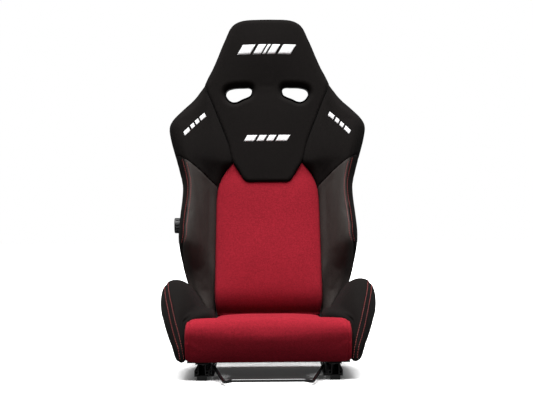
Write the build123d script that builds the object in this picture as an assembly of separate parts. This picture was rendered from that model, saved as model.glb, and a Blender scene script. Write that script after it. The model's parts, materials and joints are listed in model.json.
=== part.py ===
from build123d import *
import os
from math import cos, radians, sin

# Reclining racing seat on sliding rails, in millimetres, +Z up, the sitter facing -Y.
# The origin is the centre of the four mounting holes, on the plane that the seat is bolted down to.
# The backrest is drawn upright, with x across, y rearward and z up from the recline pivot, and then leaned back.

# --- driving dimensions: rails
RAIL_SPACING = 330.0
RAIL_FRONT, RAIL_REAR = -185.0, 215.0
LOWER_REAR = 238.0
HOLE_SPACING = 300.0
HOLE_R = 4.25
SPACER_HEIGHT = 10.0
SPACER_R = 8.5
RAIL_HALF_WIDTH = 18.5
SHEET = 2.2
BALL_R = 2.8
BALL_X, BALL_Z = 13.25, 19.6
UPPER_TOP = 42.0
COMB_FIRST, COMB_PITCH, COMB_COUNT = -169.0, 12.0, 15

# --- driving dimensions: base
PLATE_X, PLATE_T = 199.0, 3.0
TUBE_R, TUBE_WALL = 12.5, 2.0
FRONT_TUBE = (-150.0, 70.0)
REAR_TUBE = (172.0, 66.0)
SPRING_Z, SPRING_R = 84.6, 1.8
CUSHION_HALF = 139.0
NOSE_HALF = 205.0
NOSE_FRONT, NOSE_BACK = -222.0, -160.0
NOSE_BOTTOM, NOSE_TOP = 46.5, 152.0

# --- driving dimensions: backrest
RECLINE = 17.0
PIVOT_Y, PIVOT_Z = 240.0, 109.0
ARM_X, ARM_T = 184.0, 3.5
PANEL_FRONT, HEAD_FRONT, FOAM_BACK = -25.0, -33.0, 30.0
COVER_BACK, COVER_WALL = 70.0, 3.0
HOOP_Y = 46.0
ROD_R = 5.0
LUMBAR_Y, LUMBAR_H = 42.0, 300.0
LUMBAR_LIFT = 12.0
CLEARANCE = 0.3

SIDES = {"left": -1, "right": 1}
lean = Pos(0, PIVOT_Y, PIVOT_Z) * Rot(-RECLINE, 0, 0)
written = []


def save(name, shape):
    """Writes one node, a shape or a list of separate solids."""
    if isinstance(shape, list):
        solids = [s for item in shape for s in item.solids()]
        shape = Compound(children=solids)
    export_step(shape, f"parts/{name}.step")
    written.append(name)


def block(x0, x1, y0, y1, z0, z1):
    """Box between two corners."""
    size = (x1 - x0, y1 - y0, z1 - z0)
    return Pos((x0 + x1) / 2, (y0 + y1) / 2, (z0 + z1) / 2) * Box(*size)


def rod_x(radius, x0, x1, y, z):
    """Round bar along X."""
    return Pos((x0 + x1) / 2, y, z) * Rot(0, 90, 0) * Cylinder(radius, x1 - x0)


def rod_y(radius, y0, y1, x, z):
    """Round bar along Y."""
    return Pos(x, (y0 + y1) / 2, z) * Rot(90, 0, 0) * Cylinder(radius, y1 - y0)


def rod_z(radius, z0, z1, x, y):
    """Round bar along Z."""
    return Pos(x, y, (z0 + z1) / 2) * Cylinder(radius, z1 - z0)


def plate_x(points, x0, x1):
    """Flat plate between two x planes, cut to an outline of (y, z) points."""
    face = Plane.YZ.offset(x0) * make_face(Polyline(*points, close=True))
    return extrude(face, x1 - x0)


def plate_y(outline, y0, y1, taper=0):
    """Pad between two y planes, cut to an outline drawn in x and z, drawn in towards y1 by the taper."""
    plane = Plane(origin=(0, y0, 0), x_dir=(-1, 0, 0), z_dir=(0, 1, 0))
    return extrude(plane * mirror(outline, about=Plane.YZ), y1 - y0, taper=taper)


def loft_along_y(sections):
    """Solid through outlines of (x, z) points at several y stations."""
    faces = []
    for y, points in sections:
        corners = [(x, y, z) for x, z in points]
        faces.append(make_face(Polyline(*corners, close=True)))
    return loft(faces, ruled=True)


def loft_along_z(sections):
    """Solid through outlines of (x, y) points at several heights."""
    faces = []
    for z, points in sections:
        corners = [(x, y, z) for x, y in points]
        faces.append(make_face(Polyline(*corners, close=True)))
    return loft(faces, ruled=True)


def on_side(shape, side):
    """The shape as drawn for the right, or its mirror image for the left."""
    return shape if SIDES[side] > 0 else mirror(shape, about=Plane.YZ)


# ---------------------------------------------------------------- sliding rails
def lower_rail():
    """Lipped channel, open upward, with a locking comb along its inner foot."""
    half, lip = RAIL_HALF_WIDTH, 11.5
    floor = SPACER_HEIGHT
    lip_under = BALL_Z + BALL_R + 0.2
    channel = block(-half, half, RAIL_FRONT, LOWER_REAR, floor, floor + SHEET)
    for way in (-1, 1):
        wall = sorted((way * half, way * (half - SHEET)))
        channel += block(*wall, RAIL_FRONT, LOWER_REAR, floor, lip_under + SHEET)
        edge = sorted((way * half, way * lip))
        channel += block(*edge, RAIL_FRONT, LOWER_REAR, lip_under, lip_under + SHEET)
    comb_end = -half - 10.5
    last = COMB_FIRST + COMB_PITCH * (COMB_COUNT - 1)
    channel += block(comb_end, -half, COMB_FIRST - 8, last + 8, floor, floor + SHEET)
    for i in range(COMB_COUNT):
        y = COMB_FIRST + COMB_PITCH * i
        channel -= block(comb_end + 2, comb_end + 8, y - 3, y + 3, floor - 1, floor + 4)
    for y in (-HOLE_SPACING / 2, HOLE_SPACING / 2):
        channel -= rod_z(HOLE_R, floor - 1, floor + 4, 0, y)
    return Pos(RAIL_SPACING / 2, 0, 0) * channel


def upper_rail():
    """Hat section that runs inside the lower rail on balls."""
    y0, y1 = RAIL_FRONT, RAIL_REAR
    foot = BALL_Z - BALL_R - 0.2
    rail = block(-16, 16, y0, y1, UPPER_TOP - SHEET, UPPER_TOP)
    for way in (-1, 1):
        web = sorted((way * 8, way * 10.2))
        rail += block(*web, y0, y1, foot - SHEET, UPPER_TOP - SHEET)
        flange = sorted((way * 10.2, way * 15.8))
        rail += block(*flange, y0, y1, foot - SHEET, foot)
    for y in FRAME_BOLT_Y:
        rail -= rod_z(4.2, UPPER_TOP - 4, UPPER_TOP + 1, 0, y)
    return Pos(RAIL_SPACING / 2, 0, 0) * rail


def spacers():
    """Feet that hold the rails off the floor, one under each mounting hole."""
    made = []
    for x in (-RAIL_SPACING / 2, RAIL_SPACING / 2):
        for y in (-HOLE_SPACING / 2, HOLE_SPACING / 2):
            foot = rod_z(SPACER_R, 0, SPACER_HEIGHT, x, y)
            made.append(foot - rod_z(HOLE_R, -1, SPACER_HEIGHT + 1, x, y))
    return made


def rail_end_feet():
    """Blocks under the ends of the lower rails, so that an unbolted seat stands on its rails' full length."""
    made = []
    for x in (-RAIL_SPACING / 2, RAIL_SPACING / 2):
        made.append(block(x - 12, x + 12, RAIL_FRONT, RAIL_FRONT + 16, 0, SPACER_HEIGHT))
        made.append(block(x - 12, x + 12, LOWER_REAR - 16, LOWER_REAR, 0, SPACER_HEIGHT))
    return made


def ball_rows():
    """Four short rows of five balls for each rail, and the plastic strips that space them."""
    balls, strips = [], []
    for rail_x in (-RAIL_SPACING / 2, RAIL_SPACING / 2):
        for way in (-1, 1):
            for middle in (-62, 92):
                x = rail_x + way * BALL_X
                strip = block(x - 2.9, x + 2.9, middle - 40, middle + 40, BALL_Z + 1.5, BALL_Z + 2.5)
                for i in range(5):
                    y = middle + 16 * (i - 2)
                    balls.append(Pos(x, y, BALL_Z) * Sphere(BALL_R))
                    strip -= Pos(x, y, BALL_Z) * Sphere(BALL_R + 0.1)
                strips.append(strip)
    return balls, strips


# ---------------------------------------------------------------- base frame
FRAME_BOLT_Y = (-120.0, 150.0)


def side_plate():
    """Upright pressed plate with a foot on the rail, rising at the rear to carry the recliner."""
    outline = [
        (-172, 42), (-172, 78), (-150, 100), (192, 100),
        (212, 138), (262, 144), (284, 112), (272, 74), (236, 42),
    ]
    plate = plate_x(outline, PLATE_X, PLATE_X + PLATE_T)
    foot = block(148, PLATE_X, -168, 206, UPPER_TOP, UPPER_TOP + PLATE_T)
    for y in FRAME_BOLT_Y:
        foot -= rod_z(4.2, UPPER_TOP - 1, UPPER_TOP + 4, RAIL_SPACING / 2, y)
    plate -= rod_x(ROD_R + CLEARANCE, PLATE_X - 1, PLATE_X + 4, PIVOT_Y, PIVOT_Z)
    for y in (-60, 20, 100):
        plate -= rod_x(14, PLATE_X - 1, PLATE_X + 4, y, 72)
    return plate + foot


def frame_bolts():
    """Bolt and nut pairs that hold each side plate's foot to its upper rail."""
    made = []
    for x in (-RAIL_SPACING / 2, RAIL_SPACING / 2):
        for y in FRAME_BOLT_Y:
            head = Pos(x, y, UPPER_TOP + PLATE_T) * extrude(RegularPolygon(7.5, 6), 5.3)
            shank = rod_z(4, UPPER_TOP - 9, UPPER_TOP + PLATE_T, x, y)
            nut = Pos(x, y, UPPER_TOP - 8.2) * extrude(RegularPolygon(7.5, 6), 6)
            made.append(head + shank + nut)
    return made


def cross_tube(y, z):
    tube = rod_x(TUBE_R, -PLATE_X, PLATE_X, y, z)
    return tube - rod_x(TUBE_R - TUBE_WALL, -PLATE_X - 1, PLATE_X + 1, y, z)


def seat_springs():
    """Four zigzag wire springs, front tube to rear tube, which carry the cushion."""
    made = []
    step, reach, count = 20.0, 17.0, 15
    start = FRONT_TUBE[0] + 12
    for middle in (-102, -34, 34, 102):
        corners = [(middle, FRONT_TUBE[0] - 4)]
        for i in range(count):
            way = 1 if i % 2 else -1
            corners.append((middle + way * reach, start + step * i))
            corners.append((middle - way * reach, start + step * i))
        corners.append((middle - way * reach, start + step * count - 10))
        corners.append((middle, start + step * count - 4))
        corners.append((middle, REAR_TUBE[0] + 4))
        route = FilletPolyline(*[(x, y, SPRING_Z) for x, y in corners], radius=6)
        made.append(sweep(Plane(route @ 0, z_dir=route % 0) * Circle(SPRING_R), path=route))
    return made


def spring_clips(springs):
    """Saddles that clip each spring's ends to the two cross tubes."""
    made = []
    for middle in (-102, -34, 34, 102):
        for y, z in (FRONT_TUBE, REAR_TUBE):
            clip = block(middle - 6, middle + 6, y - 7, y + 7, z + 8, SPRING_Z + 3)
            clip -= rod_x(TUBE_R, middle - 8, middle + 8, y, z)
            for spring in springs:
                clip -= spring
            made.append(max(clip.solids(), key=lambda s: s.volume))
    return made


# ---------------------------------------------------------------- base upholstery
def nose():
    """Wide padded roll across the front of the cushion."""
    roll = block(-NOSE_HALF, NOSE_HALF, NOSE_FRONT, NOSE_BACK, NOSE_BOTTOM, NOSE_TOP)
    long_edges = roll.edges().filter_by(Axis.X).group_by(Axis.Y)[0]
    roll = fillet(long_edges, 24)
    ends = roll.edges().filter_by(Axis.Y).group_by(Axis.Z)[-1]
    roll = fillet(ends, 20)
    roll -= rod_x(TUBE_R + 1, -NOSE_HALF - 1, NOSE_HALF + 1, *FRONT_TUBE)
    for way in SIDES.values():
        slot = sorted((way * (PLATE_X - 1.5), way * (NOSE_HALF + 1)))
        roll -= block(*slot, -174, NOSE_BACK + 1, 40, 103)
    return roll


def cushion():
    """Middle of the seat cushion, between the bolsters."""
    side = [(-157, 90), (-157, 150), (-120, 152), (80, 145), (198, 139), (198, 90)]
    pad = plate_x(side, -CUSHION_HALF, CUSHION_HALF)
    return fillet(pad.edges().filter_by(Axis.X).group_by(Axis.Y)[-1], 12)


def base_bolster():
    """Side bolster: it sits over the side plate and swells outward and upward towards the hip."""
    stations = [
        # y, inner x, outer foot x, widest x, widest z, top x, top z, inner shoulder z
        (-200, 207, 216, 222, 70, 216, 84, 70),
        (-176, 207, 220, 238, 110, 225, 134, 116),
        (-150, 180, 222, 246, 130, 232, 166, 150),
        (-110, 160, 223, 256, 160, 238, 200, 160),
        (-50, 142, 223, 267, 184, 243, 233, 166),
        (10, 142, 223, 272, 191, 243, 242, 168),
        (70, 142, 222, 270, 188, 240, 238, 168),
        (120, 142, 220, 262, 178, 232, 222, 164),
        (160, 142, 216, 246, 160, 220, 196, 158),
        (186, 142, 211, 226, 130, 206, 160, 148),
    ]
    sections = []
    for y, inner, foot, wide, wide_z, top, top_z, shoulder_z in stations:
        sections.append((y, [
            (inner, 60), (206, 47), (foot, 47), (wide, wide_z), ((wide + top) / 2 + 2, top_z - 6),
            (top, top_z), ((top + inner) / 2 + 6, (top_z + shoulder_z) / 2), (inner, shoulder_z),
        ]))
    over_plate = block(100, NOSE_HALF + 0.5, -300, 300, 0, 104)
    beside_nose = block(100, NOSE_HALF + 0.5, -300, NOSE_BACK + 2, 50, 300)
    return loft_along_y(sections) - (over_plate + beside_nose)


# ---------------------------------------------------------------- recliner
def recliner_fixed():
    """Outer half of the round recliner, on the base side plate."""
    disc = rod_x(34, 194.2, PLATE_X, PIVOT_Y, PIVOT_Z)
    return disc - rod_x(ROD_R + CLEARANCE, 190, 200, PIVOT_Y, PIVOT_Z)


def recliner_moving():
    """Inner half of the round recliner, on the backrest's arm, drawn upright about the pivot."""
    disc = rod_x(31, ARM_X + ARM_T, 193.8, 0, 0)
    return disc - rod_x(ROD_R + CLEARANCE, 180, 200, 0, 0)


def back_arm():
    """Plate from the recliner up to the backrest's hoop."""
    outline = [
        (-30, -12), (-30, 14), (-10, 33), (31.5, 62), (31.5, 172), (60, 172),
        (62, 60), (30, -8), (10, -31), (-14, -29),
    ]
    arm = plate_x(outline, ARM_X, ARM_X + ARM_T)
    for z in ARM_BOLT_H:
        arm -= rod_x(4.2, ARM_X - 1, ARM_X + 5, HOOP_Y, z)
    return arm - rod_x(ROD_R + CLEARANCE, ARM_X - 1, ARM_X + 5, 0, 0)


def recliner_cover(side):
    """Plastic dome over the recliner, outside the side plate, open for the rod on the lever's side."""
    outside = PLATE_X + PLATE_T
    dome = rod_x(43, outside, outside + 20, PIVOT_Y, PIVOT_Z)
    dome = fillet(dome.edges().group_by(Axis.X)[-1], 9)
    inside = rod_x(40, outside, outside + 17, PIVOT_Y, PIVOT_Z)
    inside = fillet(inside.edges().group_by(Axis.X)[-1], 7)
    shell = dome - inside
    if side == "left":
        shell -= rod_x(ROD_R + 2, outside, outside + 30, PIVOT_Y, PIVOT_Z)
    return on_side(shell, side)


def cover_screws():
    """Domed screw heads, two on each recliner cover."""
    made = []
    face = PLATE_X + PLATE_T + 20
    for side in SIDES:
        for y in (PIVOT_Y - 22, PIVOT_Y + 22):
            head = rod_x(5, face, face + 2.4, y, PIVOT_Z)
            head = fillet(head.edges().group_by(Axis.X)[-1], 1.8)
            made.append(on_side(head, side))
    return made


def sync_rod():
    """Rod through both recliners, so that one lever frees the two of them."""
    return rod_x(ROD_R, -236, PLATE_X + 12, PIVOT_Y, PIVOT_Z)


def recline_lever():
    """Cranked lever on the left end of the rod, pointing up beside the backrest."""
    plate = [
        (PIVOT_Y - 12, PIVOT_Z - 10), (PIVOT_Y + 12, PIVOT_Z - 10), (PIVOT_Y + 11, PIVOT_Z + 14),
        (PIVOT_Y - 16, PIVOT_Z + 72), (PIVOT_Y - 30, PIVOT_Z + 68),
    ]
    lever = plate_x(plate, -233, -229)
    return lever - rod_x(ROD_R, -240, -220, PIVOT_Y, PIVOT_Z)


def lever_grip():
    """Moulded handle on the lever's end."""
    plate = [
        (PIVOT_Y - 13, PIVOT_Z + 60), (PIVOT_Y - 24, PIVOT_Z + 104), (PIVOT_Y - 46, PIVOT_Z + 100),
        (PIVOT_Y - 36, PIVOT_Z + 56),
    ]
    grip = plate_x(plate, -237, -225)
    return fillet(grip.edges().filter_by(Axis.X), 5) - recline_lever()


# ---------------------------------------------------------------- rail release
BAR_R = 4.0
LATCH_PIVOT = (-50.0, 33.0)
LATCH_X = RAIL_SPACING / 2 - 26


def latch_lever():
    """Toothed plate beside the upper rail, lifted out of the comb by the bar."""
    x0 = LATCH_X
    outline = [
        (-40, 27), (-40, 40), (-126, 40), (-134, 36), (-134, 28), (-116, 26),
        (-114, 19), (-80, 19), (-78, 27),
    ]
    plate = plate_x(outline, x0, x0 + 3)
    for i in (5, 6, 7):
        y = COMB_FIRST + COMB_PITCH * i
        plate += block(x0, x0 + 3, y - 2.2, y + 2.2, SPACER_HEIGHT + 0.4, 20)
    return plate - rod_x(4.05, x0 - 1, x0 + 5, *LATCH_PIVOT)


def latch_pins():
    """Shouldered pins that the latch levers turn on, held by a bracket on each upper rail."""
    made = []
    for way in SIDES.values():
        web = RAIL_SPACING / 2 - 10.2
        pin = rod_x(4, LATCH_X - 2, web, *LATCH_PIVOT)
        pin += rod_x(6.5, LATCH_X - 2.4, LATCH_X - CLEARANCE, *LATCH_PIVOT)
        pin += rod_x(6.7, LATCH_X + 3 + CLEARANCE, web, *LATCH_PIVOT)
        made.append(pin if way > 0 else mirror(pin, about=Plane.YZ))
    return made


def towel_bar():
    """Bent bar under the cushion's front edge: lift it to free both rails."""
    inner = LATCH_X - BAR_R
    corners = [
        (-inner, -72, 33), (-inner, -150, 30.5), (-106, -312, 8), (-86, -318, 12.5),
        (86, -318, 12.5), (106, -312, 8), (inner, -150, 30.5), (inner, -72, 33),
    ]
    route = FilletPolyline(*corners, radius=[22, 13, 11, 11, 13, 22])
    return sweep(Plane(route @ 0, z_dir=route % 0) * Circle(BAR_R), path=route)


# ---------------------------------------------------------------- backrest frame, drawn upright
ARM_BOLT_H = (96.0, 150.0)


def hoop_bar(radius):
    """Solid bar along the hoop's line: up one side of the backrest, over the head and down the other."""
    half = [(171.5, 16), (171.5, 190), (184, 330), (196, 470), (136.5, 704), (84, 830)]
    corners = [(-x, HOOP_Y, z) for x, z in half]
    corners += [(x, HOOP_Y, z) for x, z in reversed(half)]
    route = FilletPolyline(*corners, radius=[90, 90, 70, 90, 45, 45, 90, 70, 90, 90])
    return sweep(Plane(route @ 0, z_dir=route % 0) * Circle(radius), path=route)


def hoop():
    """Tube hoop of the backrest, drilled for the lumbar shaft and the arm bolts."""
    tube = hoop_bar(TUBE_R) - hoop_bar(TUBE_R - TUBE_WALL)
    tube -= rod_x(ROD_R + CLEARANCE, -230, -140, LUMBAR_Y, LUMBAR_H)
    for side in SIDES:
        for z in ARM_BOLT_H:
            tube -= on_side(rod_x(4.2, 165, 190, HOOP_Y, z), side)
    return tube


def hoop_cross_tubes():
    """Tubes across the hoop, coped to meet it."""
    made = []
    for z, reach in ((84, 168), (600, 158)):
        tube = rod_x(9, -reach, reach, HOOP_Y, z)
        tube -= rod_x(7.4, -reach - 1, reach + 1, HOOP_Y, z)
        made.append(tube - hoop_bar(TUBE_R))
    return made


def back_straps():
    """Elastic webbing straps across the front of the hoop, which carry the back foam."""
    made = []
    for z, reach in ((110, 172), (180, 176), (410, 190), (480, 196), (545, 176)):
        made.append(block(-reach, reach, 31, 33, z - 20, z + 20))
    return made


# ---------------------------------------------------------------- backrest upholstery, drawn upright
def back_panel():
    """Middle of the backrest, which stops at a point either side of the chest panel."""
    half = [
        (138, 12), (143, 60), (141, 360), (136, 394), (123, 428), (98, 466),
        (64, 406), (58, 402),
    ]
    points = half + [(-x, z) for x, z in reversed(half)]
    pad = plate_y(make_face(Polyline(*points, close=True)), PANEL_FRONT, FOAM_BACK)
    pocket = block(-118, 118, LUMBAR_Y - 25, FOAM_BACK + 1, LUMBAR_H - 66, LUMBAR_H + 66)
    return pad - pocket


def harness_hole(side, inset=0.0):
    """Level tunnel that a shoulder belt passes through, in the seat's own frame, wider away from the neck."""
    points = [(118, 774), (54, 782), (45, 770), (68, 744), (91, 729.5), (112, 734), (120, 752)]
    outline = make_face(Polyline(*points, close=True))
    outline = fillet(outline.vertices(), 5)
    if inset:
        outline = offset(outline, -inset)
    return on_side(plate_y(outline, 340, 580), side)


def head_pad():
    """Head and chest pad in one piece, with the two harness holes, leaned back in place."""
    half = [
        (60, 405), (66, 410), (98, 468), (118, 530), (137, 585), (158, 640), (170, 684),
        (144, 766), (121, 820), (104, 859), (84, 882), (50, 889),
    ]
    points = half + [(-x, z) for x, z in reversed(half)]
    pad = lean * plate_y(make_face(Polyline(*points, close=True)), HEAD_FRONT, FOAM_BACK)
    for side in SIDES:
        pad -= harness_hole(side)
    return pad


def back_side():
    """Side of the backrest from hip to neck, as one body."""
    stations = [
        # height, inner x, outer x, depth of the front edge, x of the front edge
        (38, 146, 176, -64, 168),
        (62, 146, 182, -80, 174),
        (100, 146, 213, -92, 200),
        (166, 146, 233, -102, 214),
        (234, 145, 239, -106, 220),
        (302, 145, 234, -100, 216),
        (353, 144, 230, -96, 212),
        (406, 140, 237, -92, 214),
        (441, 128, 246, -94, 222),
        (494, 110, 260, -98, 234),
        (530, 121, 269, -98, 243),
        (567, 134, 259, -88, 234),
        (609, 150, 230, -66, 208),
        (655, 165, 199, -44, 188),
        (682, 173, 182, -36, 180),
    ]
    sections = []
    for z, inner, outer, front, edge in stations:
        sections.append((z, [
            (inner, FOAM_BACK), (inner, PANEL_FRONT + 2), (edge - 12, front + 4), (edge, front),
            ((edge + 2 * outer) / 3, front + 12), (outer, -10), (outer - 4, FOAM_BACK),
        ]))
    body = loft_along_z(sections)
    return body - (back_panel_slot() + head_slot())


def back_panel_slot():
    """Room for the middle panel between the two sides."""
    half = [(138.5, 0), (143.5, 60), (141.5, 360), (136.5, 394), (123.5, 428), (98.5, 466), (98.5, 467)]
    points = half + [(-x, z) for x, z in reversed(half)]
    return plate_y(make_face(Polyline(*points, close=True)), -150, FOAM_BACK + 1)


def head_slot():
    """Room for the head pad between the two sides."""
    half = [(98.5, 467), (118.5, 530), (137.5, 585), (158.5, 640), (170.5, 684), (170.5, 720)]
    points = half + [(-x, z) for x, z in reversed(half)]
    return plate_y(make_face(Polyline(*points, close=True)), -150, FOAM_BACK + 1)


def side_seam():
    """Slanted plane between the lower bolster and the shoulder wing, drawn for the right."""
    low, high = (137, 391), (211, 443)
    run, rise = high[0] - low[0], high[1] - low[1]
    return Plane(origin=(low[0], 0, low[1]), x_dir=(run, 0, rise), z_dir=(-rise, 0, run))


def cover_outline(inset):
    """Outline of the rear cover, a little inside the upholstery's edge."""
    half = [
        (150, 14), (150, 62), (203, 96), (221, 166), (227, 234), (220, 340), (226, 400),
        (248, 494), (256, 530), (246, 567), (218, 609), (188, 655), (160, 700), (132, 770),
        (96, 856), (76, 876), (46, 880),
    ]
    points = half + [(-x, z) for x, z in reversed(half)]
    outline = make_face(Polyline(*points, close=True))
    return offset(outline, -inset, kind=Kind.INTERSECTION) if inset else outline


def back_cover():
    """Rear shell of the backrest, closed in front by the foam, leaned back in place."""
    outer = plate_y(cover_outline(0), FOAM_BACK, COVER_BACK, taper=12)
    inner = plate_y(cover_outline(COVER_WALL), FOAM_BACK, COVER_BACK - COVER_WALL, taper=12)
    shell = outer - inner - hoop_bar(TUBE_R + 1)
    for side in SIDES:
        shell -= on_side(block(ARM_X - 1, ARM_X + ARM_T + 7, 0, 100, -20, 120), side)
    shell -= rod_x(ROD_R + 3, -260, -150, LUMBAR_Y, LUMBAR_H)
    shell = lean * shell
    for side in SIDES:
        shell -= harness_hole(side)
    return max(shell.solids(), key=lambda s: s.volume)


def harness_liner(side):
    """Moulded liner of one harness hole, from the head pad's face to the rear cover."""
    depth = lean * block(-200, 200, HEAD_FRONT - 1.5, COVER_BACK + 1.5, 500, 900)
    return (harness_hole(side) - harness_hole(side, 1.5)) & depth


# ---------------------------------------------------------------- lumbar adjuster, drawn upright
def lumbar_shaft():
    """Shaft with two eccentric cams behind the lumbar plate."""
    shaft = rod_x(ROD_R, -249, 150, LUMBAR_Y, LUMBAR_H)
    for x in (-80, 80):
        shaft += rod_x(14, x - 8, x + 8, LUMBAR_Y + LUMBAR_LIFT / 2, LUMBAR_H)
    return shaft


def lumbar_knob():
    """Ribbed knob outside the left edge of the backrest."""
    knob = rod_x(21.5, -263, -243, LUMBAR_Y, LUMBAR_H)
    knob = fillet(knob.edges().group_by(Axis.X)[0], 3)
    knob -= rod_x(ROD_R, -249, -235, LUMBAR_Y, LUMBAR_H)
    for i in range(16):
        turn = radians(360 / 16 * i)
        y, z = LUMBAR_Y + 22.4 * cos(turn), LUMBAR_H + 22.4 * sin(turn)
        knob -= rod_x(2.4, -259, -242, y, z)
    return knob


def lumbar_plate():
    """Sprung plate behind the lower back foam, pushed forward by the cams."""
    y0 = FOAM_BACK + 0.4
    return block(-108, 108, y0, y0 + 2, LUMBAR_H - 54, LUMBAR_H + 54)


def lumbar_bracket():
    """Bearing plate for the far end of the lumbar shaft, with a foot on the back of the hoop."""
    foot_y = HOOP_Y + TUBE_R
    plate = block(150, 153, 32, foot_y + 2, LUMBAR_H - 16, LUMBAR_H + 16)
    foot = block(153, 184, foot_y, foot_y + 2, LUMBAR_H - 16, LUMBAR_H + 16)
    boss = rod_x(8, 138, 150, LUMBAR_Y, LUMBAR_H)
    return plate + foot + boss - rod_x(ROD_R + 0.05, 136, 160, LUMBAR_Y, LUMBAR_H)


def arm_bolts():
    """Hexagon bolts through each arm into the hoop's side."""
    made = []
    for side in SIDES:
        for z in ARM_BOLT_H:
            head = extrude(RegularPolygon(7.5, 6), 5.3)
            head = Pos(ARM_X + ARM_T, HOOP_Y, z) * Rot(0, 90, 0) * head
            bolt = head + rod_x(4, 166, ARM_X + ARM_T, HOOP_Y, z)
            made.append(on_side(bolt, side))
    return made


def cover_clips():
    """Push-in buttons that hold the rear cover, three each side."""
    made = []
    for side in SIDES:
        for x, z in ((118, 60), (178, 430), (70, 840)):
            head = rod_y(8, COVER_BACK, COVER_BACK + 2.5, x, z)
            head = fillet(head.edges().group_by(Axis.Y)[-1], 1.8)
            made.append(on_side(head, side))
    return made


# ---------------------------------------------------------------- build every node
os.makedirs("parts", exist_ok=True)

balls, strips = ball_rows()
save("rail_spacers", spacers())
save("rail_end_feet", rail_end_feet())
save("rail_balls", balls)
save("ball_strips", strips)
save("frame_bolts", frame_bolts())
save("front_cross_tube", cross_tube(*FRONT_TUBE))
save("rear_cross_tube", cross_tube(*REAR_TUBE))
springs = seat_springs()
save("seat_springs", springs)
save("spring_clips", spring_clips(springs))
save("cushion_nose", nose())
save("cushion_center", cushion())
save("sync_rod", sync_rod())
save("recline_lever", recline_lever())
save("lever_grip", lever_grip())
save("towel_bar", towel_bar())
save("latch_pins", latch_pins())
save("back_hoop", lean * hoop())
save("back_cross_tubes", [lean * t for t in hoop_cross_tubes()])
save("back_straps", [lean * s for s in back_straps()])
save("back_panel", lean * back_panel())
save("head_pad", head_pad())
save("back_cover", back_cover())
save("cover_clips", [lean * c for c in cover_clips()])
save("cover_screws", cover_screws())
save("lumbar_shaft", lean * lumbar_shaft())
save("lumbar_knob", lean * lumbar_knob())
save("lumbar_plate", lean * lumbar_plate())
save("lumbar_bracket", lean * lumbar_bracket())
save("arm_bolts", [lean * b for b in arm_bolts()])

whole_side = back_side()
wing = split(whole_side, bisect_by=side_seam(), keep=Keep.TOP)
bolster = split(whole_side, bisect_by=side_seam(), keep=Keep.BOTTOM)
bolster -= rod_x(ROD_R + 2, 140, 260, LUMBAR_Y, LUMBAR_H)
for side in SIDES:
    save(f"lower_rail_{side}", on_side(lower_rail(), side))
    save(f"upper_rail_{side}", on_side(upper_rail(), side))
    save(f"side_plate_{side}", on_side(side_plate(), side))
    save(f"base_bolster_{side}", on_side(base_bolster(), side))
    save(f"recliner_fixed_{side}", on_side(recliner_fixed(), side))
    save(f"recliner_cover_{side}", recliner_cover(side))
    save(f"recliner_moving_{side}", lean * on_side(recliner_moving(), side))
    save(f"back_arm_{side}", lean * on_side(back_arm(), side))
    save(f"latch_lever_{side}", on_side(latch_lever(), side))
    save(f"back_bolster_{side}", lean * on_side(bolster, side))
    save(f"shoulder_wing_{side}", lean * on_side(wing, side))
    save(f"harness_liner_{side}", harness_liner(side))

print(len(written), "nodes")
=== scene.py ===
"""Looks of a reclining racing seat: sewn covers, stitching, a moulded rear shell and painted steel."""

import json
import math

import bmesh
import bpy
import numpy as np
from mathutils import Matrix, Quaternion, Vector
from mathutils.bvhtree import BVHTree


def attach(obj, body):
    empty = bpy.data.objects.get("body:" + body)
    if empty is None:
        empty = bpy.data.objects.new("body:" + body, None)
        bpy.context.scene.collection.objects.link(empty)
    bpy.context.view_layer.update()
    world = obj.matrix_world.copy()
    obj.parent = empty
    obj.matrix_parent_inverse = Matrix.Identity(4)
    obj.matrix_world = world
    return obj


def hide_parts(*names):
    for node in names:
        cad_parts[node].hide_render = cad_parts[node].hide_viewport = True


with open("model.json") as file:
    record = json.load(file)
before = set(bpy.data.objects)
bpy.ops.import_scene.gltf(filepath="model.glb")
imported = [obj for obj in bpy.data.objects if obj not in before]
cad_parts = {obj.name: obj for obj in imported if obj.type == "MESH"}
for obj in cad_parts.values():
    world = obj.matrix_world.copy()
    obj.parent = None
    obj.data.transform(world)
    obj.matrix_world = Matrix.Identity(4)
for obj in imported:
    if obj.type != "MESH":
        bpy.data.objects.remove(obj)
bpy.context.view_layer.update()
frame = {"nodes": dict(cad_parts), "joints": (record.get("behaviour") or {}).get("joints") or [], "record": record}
joints = {j["name"]: j for j in frame["joints"]}

# The backrest is shaped upright, with x across, y rearward and z up from the recline pivot,
# and then leaned back.
RECLINE = math.radians(17)
PIVOT = Vector(joints["backrest_recline"]["pos_m"])
LEAN = Matrix.Translation(PIVOT) @ Matrix.Rotation(-RECLINE, 4, "X")
UPRIGHT = LEAN.inverted()
SIDES = {"left": -1, "right": 1}
MIRROR = np.array([-1, 1])
MM = 0.001

# Planes across the upright backrest, as its y in millimetres.
HEAD_FRONT = -31.0
FOAM_BACK = 28.0
PIPING_LEVEL = 28.6
SHELL_FRONT, SHELL_DEPTH = 29.0, 39.0


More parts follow.
